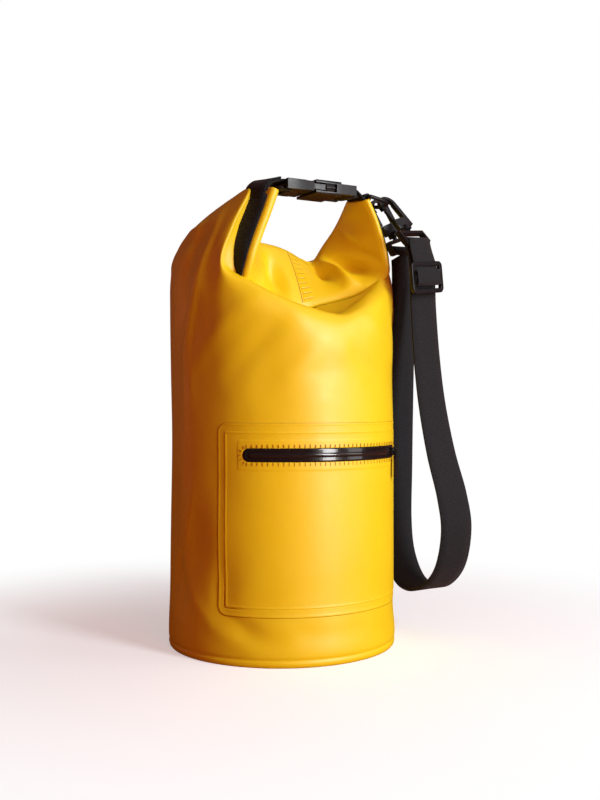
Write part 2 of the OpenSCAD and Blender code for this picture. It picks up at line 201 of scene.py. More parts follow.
PVC = material("coated_fabric", (0.84, 0.65, 0.005), 0.44, Subsurface_Weight=0.06, Specular_IOR_Level=0.65)
PVC.node_tree.nodes["Principled BSDF"].inputs["Subsurface Radius"].default_value = (0.004, 0.002, 0.0005)
PVC.node_tree.nodes["Principled BSDF"].inputs["Subsurface Scale"].default_value = 0.5
fine, broad = noise(PVC, 900, 3), noise(PVC, 16, 3, 0.5)
bump(PVC, [(broad, 0.25, 0.004), (fine, 0.12, 0.0003)])
vary(PVC, noise(PVC, 60, 4), 0.41, 0.5, "Roughness")
ramp(PVC, noise(PVC, 9, 2), (0.35, (0.85, 0.66, 0.005)), (0.65, (0.83, 0.63, 0.005)))

SEAM = material("seam_tape", (0.83, 0.63, 0.005), 0.30)
bump(SEAM, [(noise(SEAM, 500, 3), 0.3, 0.0004)])
vary(SEAM, noise(SEAM, 90, 3), 0.26, 0.38, "Roughness")

# Painted shade: a dark brown for the pocket's weld lines, the roll seam's edge and the welder's marks,
# standing in for the shade in their grooves and at their steps.
WELD_SHADE = material("seam_line", (0.42, 0.20, 0.006), 0.5)
bump(WELD_SHADE, [(noise(WELD_SHADE, 700, 2), 0.3, 0.0003)])
vary(WELD_SHADE, noise(WELD_SHADE, 80, 2), 0.45, 0.55, "Roughness")

WEB = material("webbing", (0.006, 0.006, 0.007), 0.75, Sheen_Weight=0.06, Specular_IOR_Level=0.25)
WEB.node_tree.nodes["Principled BSDF"].inputs["Sheen Roughness"].default_value = 0.5
wu, wv = weave(WEB, 170, 260)
bump(WEB, [(wu, 0.5, 0.0004), (wv, 0.45, 0.0003), (noise(WEB, 1400, 3), 0.5, 0.0003)])
ramp(WEB, noise(WEB, 1100, 3), (0.3, (0.004, 0.006, 0.008)), (0.7, (0.010, 0.014, 0.018)))

PLASTIC = material("moulded_plastic", (0.005, 0.007, 0.009), 0.3, Specular_IOR_Level=0.4)
bump(PLASTIC, [(noise(PLASTIC, 1300, 3), 0.25, 0.0002)])
vary(PLASTIC, noise(PLASTIC, 160, 3), 0.3, 0.42, "Roughness")

GLOSS = material("gloss_tape", (0.007, 0.007, 0.008), 0.16, Coat_Weight=0.4)
bump(GLOSS, [(noise(GLOSS, 180, 3, 0.5), 0.2, 0.0005)])
vary(GLOSS, noise(GLOSS, 70, 3), 0.13, 0.24, "Roughness")

COIL = material("coil", (0.01, 0.01, 0.011), 0.4)
bump(COIL, [(noise(COIL, 900, 2), 0.3, 0.0003)])
vary(COIL, noise(COIL, 200, 2), 0.32, 0.48, "Roughness")

FLOOR = material("floor", (0.78, 0.88, 0.93), 0.8)
fn, fl = FLOOR.node_tree.nodes, FLOOR.node_tree.links
near = fn["Principled BSDF"]
near.inputs["Emission Color"].default_value = (1, 1, 1, 1)
near.inputs["Emission Strength"].default_value = 0.45
bounce, far = fn.new("ShaderNodeBsdfDiffuse"), fn.new("ShaderNodeEmission")
bounce.inputs["Color"].default_value = (0.42, 0.16, 0.07, 1)
far.inputs["Color"].default_value = (1, 1, 1, 1)
far.inputs["Strength"].default_value = 1.0
where, gone = fn.new("ShaderNodeTexCoord"), fn.new("ShaderNodeVectorMath")
fade = fn.new("ShaderNodeMapRange")
gone.operation = "LENGTH"
fade.interpolation_type = "SMOOTHSTEP"
fade.inputs["From Min"].default_value = 0.16
fade.inputs["From Max"].default_value = 0.55
fl.new(where.outputs["Object"], gone.inputs[0])
fl.new(gone.outputs["Value"], fade.inputs["Value"])
seen_floor, whole = fn.new("ShaderNodeMixShader"), fn.new("ShaderNodeMixShader")
ray = fn.new("ShaderNodeLightPath")
fl.new(fade.outputs[0], seen_floor.inputs[0])
fl.new(near.outputs[0], seen_floor.inputs[1])
fl.new(far.outputs[0], seen_floor.inputs[2])
fl.new(ray.outputs["Is Camera Ray"], whole.inputs[0])
fl.new(bounce.outputs[0], whole.inputs[1])
fl.new(seen_floor.outputs[0], whole.inputs[2])
fl.new(whole.outputs[0], fn["Material Output"].inputs["Surface"])
floor_mesh.materials.append(FLOOR)


# ---------------------------------------------------------------- mesh helpers

def piece(name, verts, faces, mat, body, slot, smooth=True, uv=None, closed=False):
    """A mesh that rides on a body; closed turns every normal outwards."""
    me = bpy.data.meshes.new(name)
    me.from_pydata([tuple(map(float, v)) for v in verts], [], [tuple(map(int, f)) for f in faces])
    me.validate()
    if closed:
        bm = bmesh.new()
        bm.from_mesh(me)
        bmesh.ops.recalc_face_normals(bm, faces=bm.faces)
        bm.to_mesh(me)
        bm.free()
    me.update()
    if uv is not None:
        layer = me.uv_layers.new(name="run")
        for loop in me.loops:
            layer.data[loop.index].uv = uv[loop.vertex_index]
    o = bpy.data.objects.new(name, me)
    scene.collection.objects.link(o)
    me.materials.append(mat)
    if smooth:
        me.shade_smooth()
    if body:
        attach(o, body)
    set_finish(o, slot)
    return o


def apply(o, *mods):
    """Adds modifiers, given as (type, settings), and applies them."""
    for kind, settings in mods:
        m = o.modifiers.new(kind.lower(), kind)
        for key, value in settings.items():
            setattr(m, key, value)
    bpy.context.view_layer.update()
    done = bpy.data.meshes.new_from_object(o.evaluated_get(bpy.context.evaluated_depsgraph_get()))
    o.modifiers.clear()
    old = o.data
    o.data = done
    bpy.data.meshes.remove(old)


def grid_faces(nu, nv, wrap=False):
    """Quads of an nu by nv grid of points, u first."""
    f = []
    for i in range(nu if wrap else nu - 1):
        for j in range(nv - 1):
            a, b = i * nv + j, ((i + 1) % nu) * nv + j
            f.append((a, b, b + 1, a + 1))
    return f


def spline(points, t, closed=False):
    """Catmull-Rom through points, an array (n, ...), at parameters t from 0 to n - 1 (or n where closed)."""
    p = np.asarray(points, float)
    n = len(p)
    t = np.asarray(t, float)
    i = np.floor(t).astype(int)
    if not closed:
        i = np.clip(i, 0, n - 2)
    x = (t - i).reshape((-1,) + (1,) * (p.ndim - 1))

    def at(k):
        return p[k % n] if closed else p[np.clip(k, 0, n - 1)]

    a, b, c, d = at(i - 1), at(i), at(i + 1), at(i + 2)
    return 0.5 * (2 * b + (c - a) * x + (2 * a - 5 * b + 4 * c - d) * x**2 + (3 * b - 3 * c + d - a) * x**3)


def halves(o, parts, left):
    """Cuts o into two pieces that keep its shading: left(face index, centre) tells the faces of the first."""
    shading = [v.normal.copy() for v in o.data.vertices]
    made = []
    for name, keep in zip(parts, (True, False)):
        me = bpy.data.meshes.new(name)
        bm = bmesh.new()
        bm.from_mesh(o.data)
        mark = bm.verts.layers.int.new("source")
        for v in bm.verts:
            v[mark] = v.index
        gone = [f for f in bm.faces if left(f.index, f.calc_center_median()) != keep]
        bmesh.ops.delete(bm, geom=gone, context="FACES")
        bm.to_mesh(me)
        ids = [v[mark] for v in bm.verts]
        bm.free()
        me.attributes.remove(me.attributes["source"])
        me.shade_smooth()
        me.normals_split_custom_set_from_vertices([shading[i] for i in ids])
        h = bpy.data.objects.new(name, me)
        scene.collection.objects.link(h)
        me.materials.clear()
        me.materials.append(o.data.materials[0])
        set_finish(h, o["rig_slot"])
        made.append(h)
    bpy.data.objects.remove(o, do_unlink=True)
    return made


def follow_ear(o):
    """Bakes o's placement into its mesh; nothing bends it towards the ear."""
    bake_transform(o)


def follow_ears(pair):
    """Bakes the two halves' placement into their meshes; they are not bent or tied to the ears."""
    for o, s, body in zip(pair, (-1, 1), ("ear_left", "ear_right")):
        follow_ear(o)


def bevelled(name, node, mat, body, slot, width=0.5):
    """The CAD node's own shape with its edges rounded by width mm, as a piece that stands for it."""
    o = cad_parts[node].copy()
    o.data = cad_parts[node].data.copy()
    for key in list(o.keys()):
        del o[key]
    o.parent = None
    o.name = name
    scene.collection.objects.link(o)
    o.data.materials.clear()
    o.data.materials.append(mat)
    apply(o, ("WELD", {"merge_threshold": 0.02 * MM}),
          ("BEVEL", {"width": width * MM, "segments": 3, "limit_method": "ANGLE",
                     "angle_limit": math.radians(35), "harden_normals": False}))
    o.data.shade_smooth()
    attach(o, body)
    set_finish(o, slot)
    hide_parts(node)


def ribbon(name, centre, across, width, thick, mat, body, slot, ease=0.35):
    """A webbing along centre, with across as its width direction and rounded edges; sizes in mm."""
    c = np.asarray(centre, float)
    w = np.asarray(across, float)
    run = np.gradient(c, axis=0)
    run /= np.linalg.norm(run, axis=1)[:, None]
    w = w - (w * run).sum(1)[:, None] * run
    w /= np.linalg.norm(w, axis=1)[:, None]
    n = np.cross(run, w)
    h, q = width / 2, thick / 2
    full = q * 1.04
    section = [(-h + ease, -q), (-h / 2, -full), (0, -q), (h / 2, -full), (h - ease, -q), (h, -q * 0.3),
               (h, q * 0.3), (h - ease, q), (h / 2, full), (0, q), (-h / 2, full), (-h + ease, q),
               (-h, q * 0.3), (-h, -q * 0.3)]
    m = len(section)
    gone = np.concatenate([[0], np.cumsum(np.linalg.norm(np.diff(c, axis=0), axis=1))])
    verts, uv = [], []
    for k in range(len(c)):
        for a, b in section:
            verts.append((c[k] + w[k] * a + n[k] * b) * MM)
            uv.append((gone[k] * MM, (a + (0 if b < 0 else 0.2)) * MM))
    faces = []
    for k in range(len(c) - 1):
        for s in range(m):
            a, b = k * m + s, k * m + (s + 1) % m
            faces.append((a, b, b + m, a + m))
    faces.append(tuple(range(m - 1, -1, -1)))
    faces.append(tuple(range((len(c) - 1) * m, len(c) * m)))
    return piece(name, verts, faces, mat, body, slot, uv=uv, closed=True)


def box_mesh(cx, cy, cz, ax, ay, az, sx, sy, sz):
    """Eight corners of a box at (cx, cy, cz) with axes ax, ay, az and sizes sx, sy, sz."""
    c = np.array([cx, cy, cz], float)
    return [c + ax * (i * sx / 2) + ay * (j * sy / 2) + az * (k * sz / 2)
            for i in (-1, 1) for j in (-1, 1) for k in (-1, 1)]


BOX_FACES = [(0, 1, 3, 2), (4, 6, 7, 5), (0, 4, 5, 1), (2, 3, 7, 6), (0, 2, 6, 4), (1, 5, 7, 3)]


# ---------------------------------------------------------------- shoulder strap, a free cord

def unit(v):
    """v at length 1."""
    v = np.asarray(v, float)
    return v / np.linalg.norm(v)


def eye_of(top, bar):
    """The middle of a hook's strap bar."""
    return np.array(top, float) - unit(np.subtract(top, bar)) * BAR_TO_TOP


STRAP_WIDE, STRAP_THICK = 38, 1.8
BAR_TO_TOP = 44.5
BAR_A, BAR_B = unit([0.88, 0.43, 0.11]), unit([0.86, 0.5, 0.1])
EYE_A = eye_of((72.6, -61.5, 392.2), (90, -84, 357))
EYE_B = eye_of((72.6, -48.5, 392.2), (90, -57, 356))


def below(eye, off, bar):
    """The point off from the eye, level with it along the bar."""
    return eye + off - np.dot(off, bar) * bar


STRAP = [below(EYE_A, np.array([1.6, 1.6, -3.4]), BAR_A), (92.3, -84.7, 340.6), (96.6, -82.7, 322),
         (101, -78.5, 298), (107, -75, 258), (113, -75, 215), (121, -78, 170), (130, -82, 132),
         (136, -81, 100), (138, -70, 66), (135, -53, 46), (131, -35, 41), (129, -17, 49),
         (129, -3, 72), (129, 1, 104), (128.5, -1.5, 150), (125, -8, 200),
         (118, -20, 245), (110, -35.5, 290), (97.5, -50.5, 328),
         below(EYE_B, np.array([1.4, 1.6, -3.6]), BAR_B)]
TURN = [26, 22, 20, 19, 17, 15, 12, 9, 7, 5, 4, 4, 5, 7, 9, 11, 13, 17, 22, 27, 30]
steps = np.linspace(0, len(STRAP) - 1, 241)
line = spline(STRAP, steps)
turn = np.radians(spline(np.array(TURN, float)[:, None], steps)[:, 0])
ease = np.clip(np.minimum(steps, len(STRAP) - 1 - steps) / 2, 0, 1)[:, None]
bar_way = np.where((steps < len(STRAP) / 2)[:, None], BAR_A, BAR_B)
width_way = bar_way * (1 - ease) + np.stack([np.cos(turn), np.sin(turn), 0 * turn], 1) * ease
strap = ribbon("shoulder_strap", line, width_way, STRAP_WIDE, STRAP_THICK, WEB, "strap", "strap_webbing")

for k, eye, bar, start in (("a", EYE_A, BAR_A, line[0]), ("b", EYE_B, BAR_B, line[-1])):
    # the strap's end, turned round the hook's bar and sewn back on itself
    down = unit(start - eye)
    out = np.cross(bar, down)
    if out @ np.array([0.3, -0.9, 0]) < 0:
        out = -out
    round_bar = np.radians(np.linspace(12, 348, 40))
    loop = [eye + 3.05 * (down * math.cos(b) + out * math.sin(b)) for b in round_bar]
    ribbon(f"strap_turn_{k}", loop, [bar] * len(loop), STRAP_WIDE - 0.4, STRAP_THICK, WEB,
                              "strap", "strap_webbing")

# the layer that runs from the front hook down into the adjuster
over = spline([EYE_A + [1.0, -2.8, -0.6], (91.6, -87.4, 350), (93.6, -88.6, 341), (94.7, -88.8, 336),
               (95.9, -89.8, 331.5)], np.linspace(0, 4, 30))
lean = np.linspace(0, 1, 30)[:, None]
glide_way = np.array([0.94, 0.342, 0])
flap = ribbon("strap_upper_layer", over, BAR_A * (1 - lean) + glide_way * lean, STRAP_WIDE - 0.4,
              STRAP_THICK - 0.1, WEB, None, "strap_webbing")
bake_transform(flap)


# ---------------------------------------------------------------- the bag's fabric
# Columns go round the bag from its front; each climbs from the tube, over the lip or the crest, to the roll.

COLUMNS = [
    (-90, [(0, -100, 262), (0, -98, 277), (0, -93, 286.5), (0, -86, 290),
           (0, -76, 288.5), (0, -58, 289.5), (0, -38, 295)]),
    (-110, [(-34, -94, 268), (-35, -92, 284), (-37, -86, 296), (-40, -76, 301.5),
            (-39, -66, 300), (-36, -54, 297), (-34, -44, 299)]),
    (-130, [(-64, -77, 275), (-65, -76, 295), (-66, -70, 311), (-67, -60, 318),
            (-64, -56, 317), (-58, -54, 314), (-54, -52, 312)]),
    (-145, [(-83, -58, 282), (-84.5, -57.5, 306), (-86, -56, 322), (-86, -53, 330.5),
            (-82, -52, 331), (-78, -52, 329), (-74, -52, 327)]),
    (-157, [(-92, -39, 285), (-92, -40, 315), (-85.5, -46, 345), (-76, -52, 363),
            (-73, -51, 363), (-71, -50, 360.5), (-70, -49, 357)]),
    (-170, [(-98.5, -16, 290), (-95.5, -26, 325), (-80, -32, 364), (-60.5, -48, 392),
            (-58, -48.5, 391.5), (-56.5, -49, 388), (-56, -49, 384)]),
    (-185, [(-100, 9, 290), (-98, 6, 330), (-84, -4, 366), (-61, -17, 390.5),
            (-58, -22, 390), (-55, -32, 386), (-54, -38, 381)]),
    (-197, [(-96, 29, 295), (-95, 28, 330), (-87, 22, 357), (-74, 14, 375),
            (-67, 5, 377), (-61, -12, 371), (-61, -26, 364)]),
    (-208, [(-88, 47, 295), (-88, 47, 322), (-87, 44, 344), (-80, 32, 360),
            (-70, 14, 366), (-62, -6, 361), (-60, -19, 355)]),
    (-225, [(-71, 71, 290), (-71, 70, 314), (-68, 66, 335), (-58, 50, 350),
            (-47, 28, 358), (-40, 4, 358), (-38, -10, 356)]),
    (-248, [(-37, 93, 285), (-37, 92, 308), (-35, 86, 329), (-30, 68, 343),
            (-24, 40, 351), (-19, 10, 354), (-17, -9, 354.5)]),
    (-270, [(0, 100, 283), (0, 99, 306), (0, 92, 327), (0, 74, 341),
            (0, 44, 349), (0, 14, 352), (0, -9, 351)]),
    (-292, [(37, 93, 283), (37, 92, 305), (35, 86, 326), (30, 68, 339),
            (24, 40, 345), (19, 10, 347), (15, -8, 346)]),
    (-315, [(71, 71, 285), (71, 70, 309), (68, 66, 330), (58, 50, 343),
            (46, 28, 349), (38, 6, 348), (30, -6, 345)]),
    (-332, [(88, 47, 285), (88, 46, 312), (86, 42, 332), (76, 28, 350),
            (62, 10, 360), (52, -8, 364), (43, -15, 366)]),
    (-348, [(98, 21, 285), (97, 19, 315), (90, 12, 342), (76, -2, 367),
            (66, -10, 378), (56, -18, 380), (48, -24, 380)]),
    (-365, [(99.6, -9, 285), (98, -10, 315), (89, -16, 344), (68, -28, 377),
            (57, -34, 388), (50, -38, 390), (47, -40, 390)]),
    (-380, [(94, -34, 282), (93, -35, 308), (84, -42, 337), (61, -54, 371),
            (57, -56, 373), (55, -56, 370), (54, -55, 366)]),
    (-392, [(85, -53, 280), (85, -53, 302), (80, -57, 324), (70, -60, 338),
            (67, -58, 338.5), (65, -57, 336), (63, -56, 333)]),
    (-406, [(69, -72, 277), (69, -72, 297), (67, -71, 313), (62, -66, 320.5),
            (58, -60, 320), (55, -58, 317), (53, -56, 314)]),
    (-422, [(47, -88, 272), (46, -88, 288), (44, -85, 301), (41, -77, 307),
            (39, -68, 306.5), (37, -58, 306), (36, -50, 306)]),
    (-437, [(22.5, -97, 266), (21, -96, 280), (20, -92, 290.5), (17, -84, 293),
            (16, -74, 293), (15, -58, 296), (14, -43, 300)]),
]


def smooth(x, a, b):
    """A soft step from 0 at a to 1 at b."""
    t = np.clip((x - a) / (b - a), 0, 1)
    return t * t * (3 - 2 * t)


def bell(x, at, wide):
    """A soft bump, 1 high at x = at."""
    return np.exp(-(((x - at) / wide) ** 2))


def turned(angle, at):
    """Signed distance in degrees round the bag."""
    return (angle - at + 180) % 360 - 180


def wall_radius(angle, z):
    """The tube's radius in mm: a slight flare at the foot, soft dents and the flat fold down one side."""
    a, z = np.asarray(angle, float), np.asarray(z, float)
    r = TUBE_R + 1.3 * bell(z, 14, 26)
    low = smooth(z, 4, 40)
    for at, zc, wa, wz, deep in (
        (188, 262, 5, 60, -1.2), (203, 240, 12, 70, 1.2), (172, 235, 11, 90, 1.0),
        (196, 95, 9, 34, 2.2), (183, 60, 8, 26, 1.6), (212, 62, 9, 30, 1.5), (224, 26, 8, 10, 1.8),
        (170, 118, 10, 32, 1.6), (206, 150, 12, 30, 0.9), (238, 18, 7, 8, 1.6), (254, 24, 10, 9, 1.3),
        (276, 22, 12, 9, 1.2), (300, 20, 10, 8, 1.4), (322, 30, 9, 14, 1.5), (262, 245, 18, 22, 1.4),
        (292, 232, 20, 24, 1.3), (236, 235, 10, 26, 1.2), (318, 240, 12, 30, 1.2), (20, 90, 16, 40, 1.6),
        (60, 60, 14, 30, 1.8), (95, 120, 20, 50, 1.2), (130, 70, 14, 34, 2.0), (150, 180, 14, 50, 1.5),
        (350, 150, 12, 60, 1.2), (45, 200, 18, 50, 1.4), (110, 220, 18, 40, 1.2),
    ):
        r = r - 1.3 * deep * bell(turned(a, at), 0, wa) * bell(z, zc, wz) * low
    r = r - 0.5 * bell(turned(a, 188), 0, 1.2) * smooth(z, 60, 200) * smooth(-z, -290, -250)
    return r


def on_wall(angle, z, out=0.0):
    """Points in mm on the tube, out mm outside it."""
    r = wall_radius(angle, z) + out
    t = np.radians(angle)
    return np.stack([r * np.cos(t), r * np.sin(t), z + 0 * r], -1)


def fabric_grid(nu, nv_low, nv_high):
    """Points (nu, nv, 3) in mm, from the floor over the lip to the roll."""
    ks = np.array([c[0] for c in COLUMNS] + [COLUMNS[0][0] - 360], float)
    a = FRONT - 360 * np.arange(nu) / nu
    where = np.interp(-a, -ks, np.arange(len(ks)))
    zs = np.concatenate([[0, 1.5, 3.5, 5, 6.2, 7.5, 9.5], np.linspace(13, 240, nv_low)])
    low = np.stack([on_wall(a, np.full(nu, z)) for z in zs], 1)
    # the weld above the base, and the edge that is turned in below it
    for j, z in enumerate(zs):
        shrink = 1.0 * bell(z, 6.2, 1.1) + 1.6 * max(0.0, 1 - z / 3.0) ** 2
        flat = low[:, j, :2]
        low[:, j, :2] = flat * (1 - shrink / np.linalg.norm(flat, axis=1))[:, None]
    rows = []
    for k in range(7):
        rows.append(spline(np.array([c[1][k] for c in COLUMNS], float), where, closed=True))
    start = np.stack([on_wall(a, np.full(nu, 240.0)), on_wall(a, np.full(nu, 214.0))])
    stack = np.stack([start[1], start[0]] + rows)
    high = spline(stack, np.linspace(1, 8, nv_high + 1)[1:])
    return np.concatenate([low, np.swapaxes(high, 0, 1)], 1)


NU = 288
cloth = fabric_grid(NU, 58, 64)
NV = cloth.shape[1]


def crease(grid, points, wide, tall):
    """Raises (or sinks) the cloth along a line of points, wide mm to each side."""
    du, dv = np.gradient(grid, axis=0), np.gradient(grid, axis=1)
    du[0], du[-1] = (grid[1] - grid[-1]) / 2, (grid[0] - grid[-2]) / 2
    n = np.cross(dv, du)
    n /= np.linalg.norm(n, axis=2)[:, :, None] + 1e-9
    p = spline(np.array(points, float), np.linspace(0, len(points) - 1, 12 * len(points)))
    best = np.full(grid.shape[:2], 1e9)
    share = np.zeros(grid.shape[:2])
    for k, q in enumerate(p):
        d = np.linalg.norm(grid - q, axis=2)
        closer = d < best
        best[closer] = d[closer]
        share[closer] = k / (len(p) - 1)
    fade = np.sin(np.pi * np.clip(0.12 + 0.76 * share, 0, 1)) ** 0.7
    return grid + n * (tall * np.exp(-(best / wide) ** 2) * fade)[:, :, None]


for points, wide, tall in (
    ([(-68, -26, 377), (-84, -32, 356), (-93, -27, 322), (-98.8, -15, 277), (-99.5, -10, 250)], 5, 1.8),
    ([(-76, -10, 374), (-90, -12, 345), (-97, -8, 310)], 7, -2.0),
    ([(-66, -74, 300), (-78, -62, 288), (-90, -44, 270), (-97, -24, 250)], 9, 1.8),
    ([(-50, -86, 285), (-66, -75, 262), (-80, -60, 240)], 9, -1.6),
    ([(10, -98, 270), (24, -97, 250), (44, -90, 236)], 10, -1.8),
    ([(30, -92, 285), (55, -83, 270), (74, -67, 255)], 9, 1.6),
    ([(70, -70, 295), (84, -54, 280), (93, -36, 262)], 8, -1.5),
    ([(-20, -98, 262), (-34, -94, 246), (-52, -85, 234)], 9, 1.4),
    ([(-70, -32, 371), (-84, 0, 367), (-80, 22, 364)], 4, 1.6),
    ([(-82, -26, 357), (-92, 4, 355), (-85, 34, 350)], 5, -1.6),
    ([(-93, -22, 343), (-98, 8, 342), (-92, 38, 338)], 5, 1.8),
    ([(-98, -20, 140), (-99, -8, 90), (-97, -22, 50)], 6, 0.9),
    ([(-97, -22, 50), (-88, -46, 30), (-70, -70, 16)], 6, 0.9),
    ([(-99, -8, 92), (-99, 8, 60), (-97, 20, 40)], 6, -1.0),
    ([(-86, -50, 60), (-76, -64, 36), (-58, -80, 20)], 7, -0.9),
    ([(60, 80, 330), (75, 62, 300), (90, 40, 262)], 10, -2.0),
    ([(-40, 90, 325), (-55, 82, 290), (-80, 60, 250)], 10, 2.0),
    ([(0, 98, 315), (12, 99, 280), (34, 93, 240)], 11, -2.0),
):
    cloth = crease(cloth, points, wide, tall)

shell = piece("bag_fabric", cloth.reshape(-1, 3) * MM, grid_faces(NU, NV, wrap=True), PVC, None,
              "coated_fabric")
bpy.context.view_layer.update()
apply(shell, ("SOLIDIFY", {"thickness": 0.0008, "offset": -1.0}))
shell.data.shade_smooth()
left_shell, right_shell = halves(shell, ("bag_fabric_left", "bag_fabric_right"), lambda i, c: c.x < 0)
follow_ears((left_shell, right_shell))
for o, shoulder in ((left_shell, "shoulder_left"), (right_shell, "shoulder_right")):
    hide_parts("body_tube", "front_lip_panel", "back_shoulder_panel", shoulder, "base_weld_band")

# the tape welded over the tube's seam, up the back
half = NU // 2
cols = cloth[half - 6:half + 7]
du, dv = np.gradient(cols, axis=0), np.gradient(cols, axis=1)
proud = np.cross(dv, du)
proud /= np.linalg.norm(proud, axis=2)[:, :, None]
if proud[6, 20] @ [0, 1, 0] < 0:
    proud = -proud
where = 6 + np.array([-2.9, -2.8, -2.2, -1.1, 0, 1.1, 2.2, 2.8, 2.9])
rise = np.array([-0.3, 0.25, 0.4, 0.42, 0.42, 0.42, 0.4, 0.25, -0.3])
rows = slice(8, NV - 6)
tape = spline(cols, where)[:, rows] + spline(proud, where)[:, rows] * rise[:, None, None]
seam = piece("back_seam_tape_skin", tape.reshape(-1, 3) * MM, grid_faces(len(where), tape.shape[1]), SEAM,
             "bag", "coated_fabric")
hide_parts("back_seam_tape")

# ---------------------------------------------------------------- the roll
# Stations along the rolled mouth, from the left ear's tip to the right one: front edge and back edge.

ROLL = np.array([
    [(-42, -68, 391), (-49, -43, 392.5)], [(-48, -67, 374), (-57, -38, 378)],
    [(-55, -64, 354), (-66, -33, 361)], [(-61, -62, 334), (-71, -30, 345)],
    [(-61, -56, 315), (-64, -22, 348)], [(-41, -46, 304), (-40, -13, 356)],
    [(-18, -41, 301), (-16, -9.5, 355.5)], [(0, -38, 302), (0, -9, 352)],
    [(18, -42, 307.5), (13, -8.5, 347)], [(38, -49, 313.5), (23, -8, 343.5)],
    [(56, -59, 321.5), (31, -6.5, 346)], [(67, -66, 331), (38, -11, 359)],
    [(64, -68, 347), (44, -18, 372)], [(55, -69, 371), (45.5, -28, 384)],
    [(44, -69, 392), (43, -42, 395)],
], float)


def roll_frame(t):
    """Front edge, back edge and outward normal of the roll's face at stations t."""
    e = spline(ROLL, t)
    later, sooner = spline(ROLL, np.minimum(t + 0.15, 14)), spline(ROLL, np.maximum(t - 0.15, 0))
    run = (later - sooner).mean(axis=1)
    run /= np.linalg.norm(run, axis=1)[:, None]
    n = np.cross(run, e[:, 1] - e[:, 0])
    return e[:, 0], e[:, 1], n / np.linalg.norm(n, axis=1)[:, None]


def roll_face(t, s, lift=0.0):
    """The roll's face, with folds and a hollow beside the seam; s climbs from its front to its back edge."""
    front, back, n = roll_frame(t)
    tt, ss = np.meshgrid(t, s, indexing="ij")
    dome = np.sin(np.pi * ss)
    high = 2.6 * dome ** 0.6
    high += 8.0 * bell(tt, 9.75 + 0.9 * (ss - 0.5), 0.36) * dome ** 0.6
    high -= 9.0 * bell(tt, 8.85 + 0.5 * (ss - 0.5), 0.36) * bell(ss, 0.66, 0.26)
    high -= 8.0 * bell(tt, 10.6 - 0.4 * ss, 0.42) * bell(ss, 0.5, 0.3)
    high += 2.0 * bell(tt, 12.1, 0.6) * bell(ss, 0.45, 0.3) - 1.6 * bell(tt, 11.55 + 0.8 * ss, 0.22) * dome
    high -= 10.0 * bell(tt, 6.0 - 0.5 * ss, 0.42) * bell(ss, 0.45, 0.33)
    high += 4.5 * bell(tt, 5.0 + 0.8 * (ss - 0.4), 0.35) * dome
    high -= 2.0 * bell(tt, 3.4, 0.6) * dome
    high += 0.5 * np.sin(tt * 5.1 + 3 * ss) * dome * smooth(np.abs(tt - 7), 1.0, 3)
    flat = front[:, None] * (1 - s)[None, :, None] + back[:, None] * s[None, :, None]
    return flat + n[:, None] * (high + lift)[:, :, None]


NR, NW = 169, 44
rt = np.linspace(0, 14, NR)
r_front, r_back, r_norm = roll_frame(rt)
thick = 8.0 - 3.0 * smooth(rt, 9, 13)
width = r_back - r_front
across = width / np.linalg.norm(width, axis=1)[:, None]
face = roll_face(rt, np.linspace(0, 1, NW))
round_edge = np.radians([30, 60, 90, 120, 150])
ring = []
for i in range(NR):
    half_d = thick[i] / 2
    q = list(face[i])
    c = r_back[i] - r_norm[i] * half_d
    q += [c + (r_norm[i] * math.cos(b) + across[i] * math.sin(b)) * half_d for b in round_edge]
    q += [r_front[i] + width[i] * x - r_norm[i] * thick[i] for x in np.linspace(1, 0, NW)]
    c = r_front[i] - r_norm[i] * half_d
    q += [c - (r_norm[i] * math.cos(b) + across[i] * math.sin(b)) * half_d for b in round_edge]
    ring.append(q)
ring = np.array(ring)
m = ring.shape[1]
faces = [(i * m + j, i * m + (j + 1) % m, (i + 1) * m + (j + 1) % m, (i + 1) * m + j)
         for i in range(NR - 1) for j in range(m)]
faces += [tuple(range(m - 1, -1, -1)), tuple(range((NR - 1) * m, NR * m))]
mid_face = (NR - 1) // 2 * m
roll = piece("mouth_roll", ring.reshape(-1, 3) * MM, faces, PVC, None, "coated_fabric", closed=True)
roll_halves = halves(roll, ("mouth_roll_left", "mouth_roll_right"),
                     lambda i, c: i < mid_face or i == len(faces) - 2)
follow_ears(roll_halves)
for o, n in zip(roll_halves, ("roll_left", "roll_right")):
    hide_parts(n, "roll_middle")

# the seam across the roll's face: a line where the layers end and the tape beside it, with the welder's
# marks; the line and the marks are painted dark as shade, at the foot of the tape's edge and in the marks'
# grooves
tt, ts = np.linspace(7.03, 7.66, 9), np.linspace(0.02, 0.985, 150)
step = np.array([-0.3, 0.35, 0.42, 0.42, 0.42, 0.42, 0.42, 0.3, -0.3])
mark_places = np.linspace(0.07, 0.94, 10)
marks = sum(bell(ts, x, 0.006) for x in mark_places)
seam_up = roll_face(tt, ts, step[:, None] - 0.3 * marks[None, :] * (step > 0)[:, None])
up = piece("mouth_seam_tape", seam_up.reshape(-1, 3) * MM, grid_faces(9, 150), SEAM, None, "coated_fabric")
seam_line = roll_face(np.linspace(6.955, 7.035, 4), ts, np.array([-0.2, 0.18, 0.18, -0.2])[:, None])
# painted shade along the foot of the tape's edge
piece("mouth_seam_line", seam_line.reshape(-1, 3) * MM, grid_faces(4, 150), WELD_SHADE, "bag", "coated_fabric")
tick_v, tick_f = [], []
mark_rise = np.array([0.28, 0.36, 0.28])[None, :]
for x in mark_places:
    row = roll_face(np.linspace(7.1, 7.58, 8), np.array([x - 0.004, x, x + 0.004]), mark_rise)
    k = len(tick_v)
    tick_v += list(row.reshape(-1, 3))
    tick_f += [tuple(k + i for i in f) for f in grid_faces(8, 3)]
# the welder's marks, painted dark as the shade in their grooves
ticks_up = piece("mouth_seam_marks", np.array(tick_v) * MM, tick_f, WELD_SHADE, None, "coated_fabric")
for o in (up, ticks_up):
    follow_ear(o)

# ---------------------------------------------------------------- closure webbing
# It runs under the roll, up the outside of both ears and round the buckle's two bars.

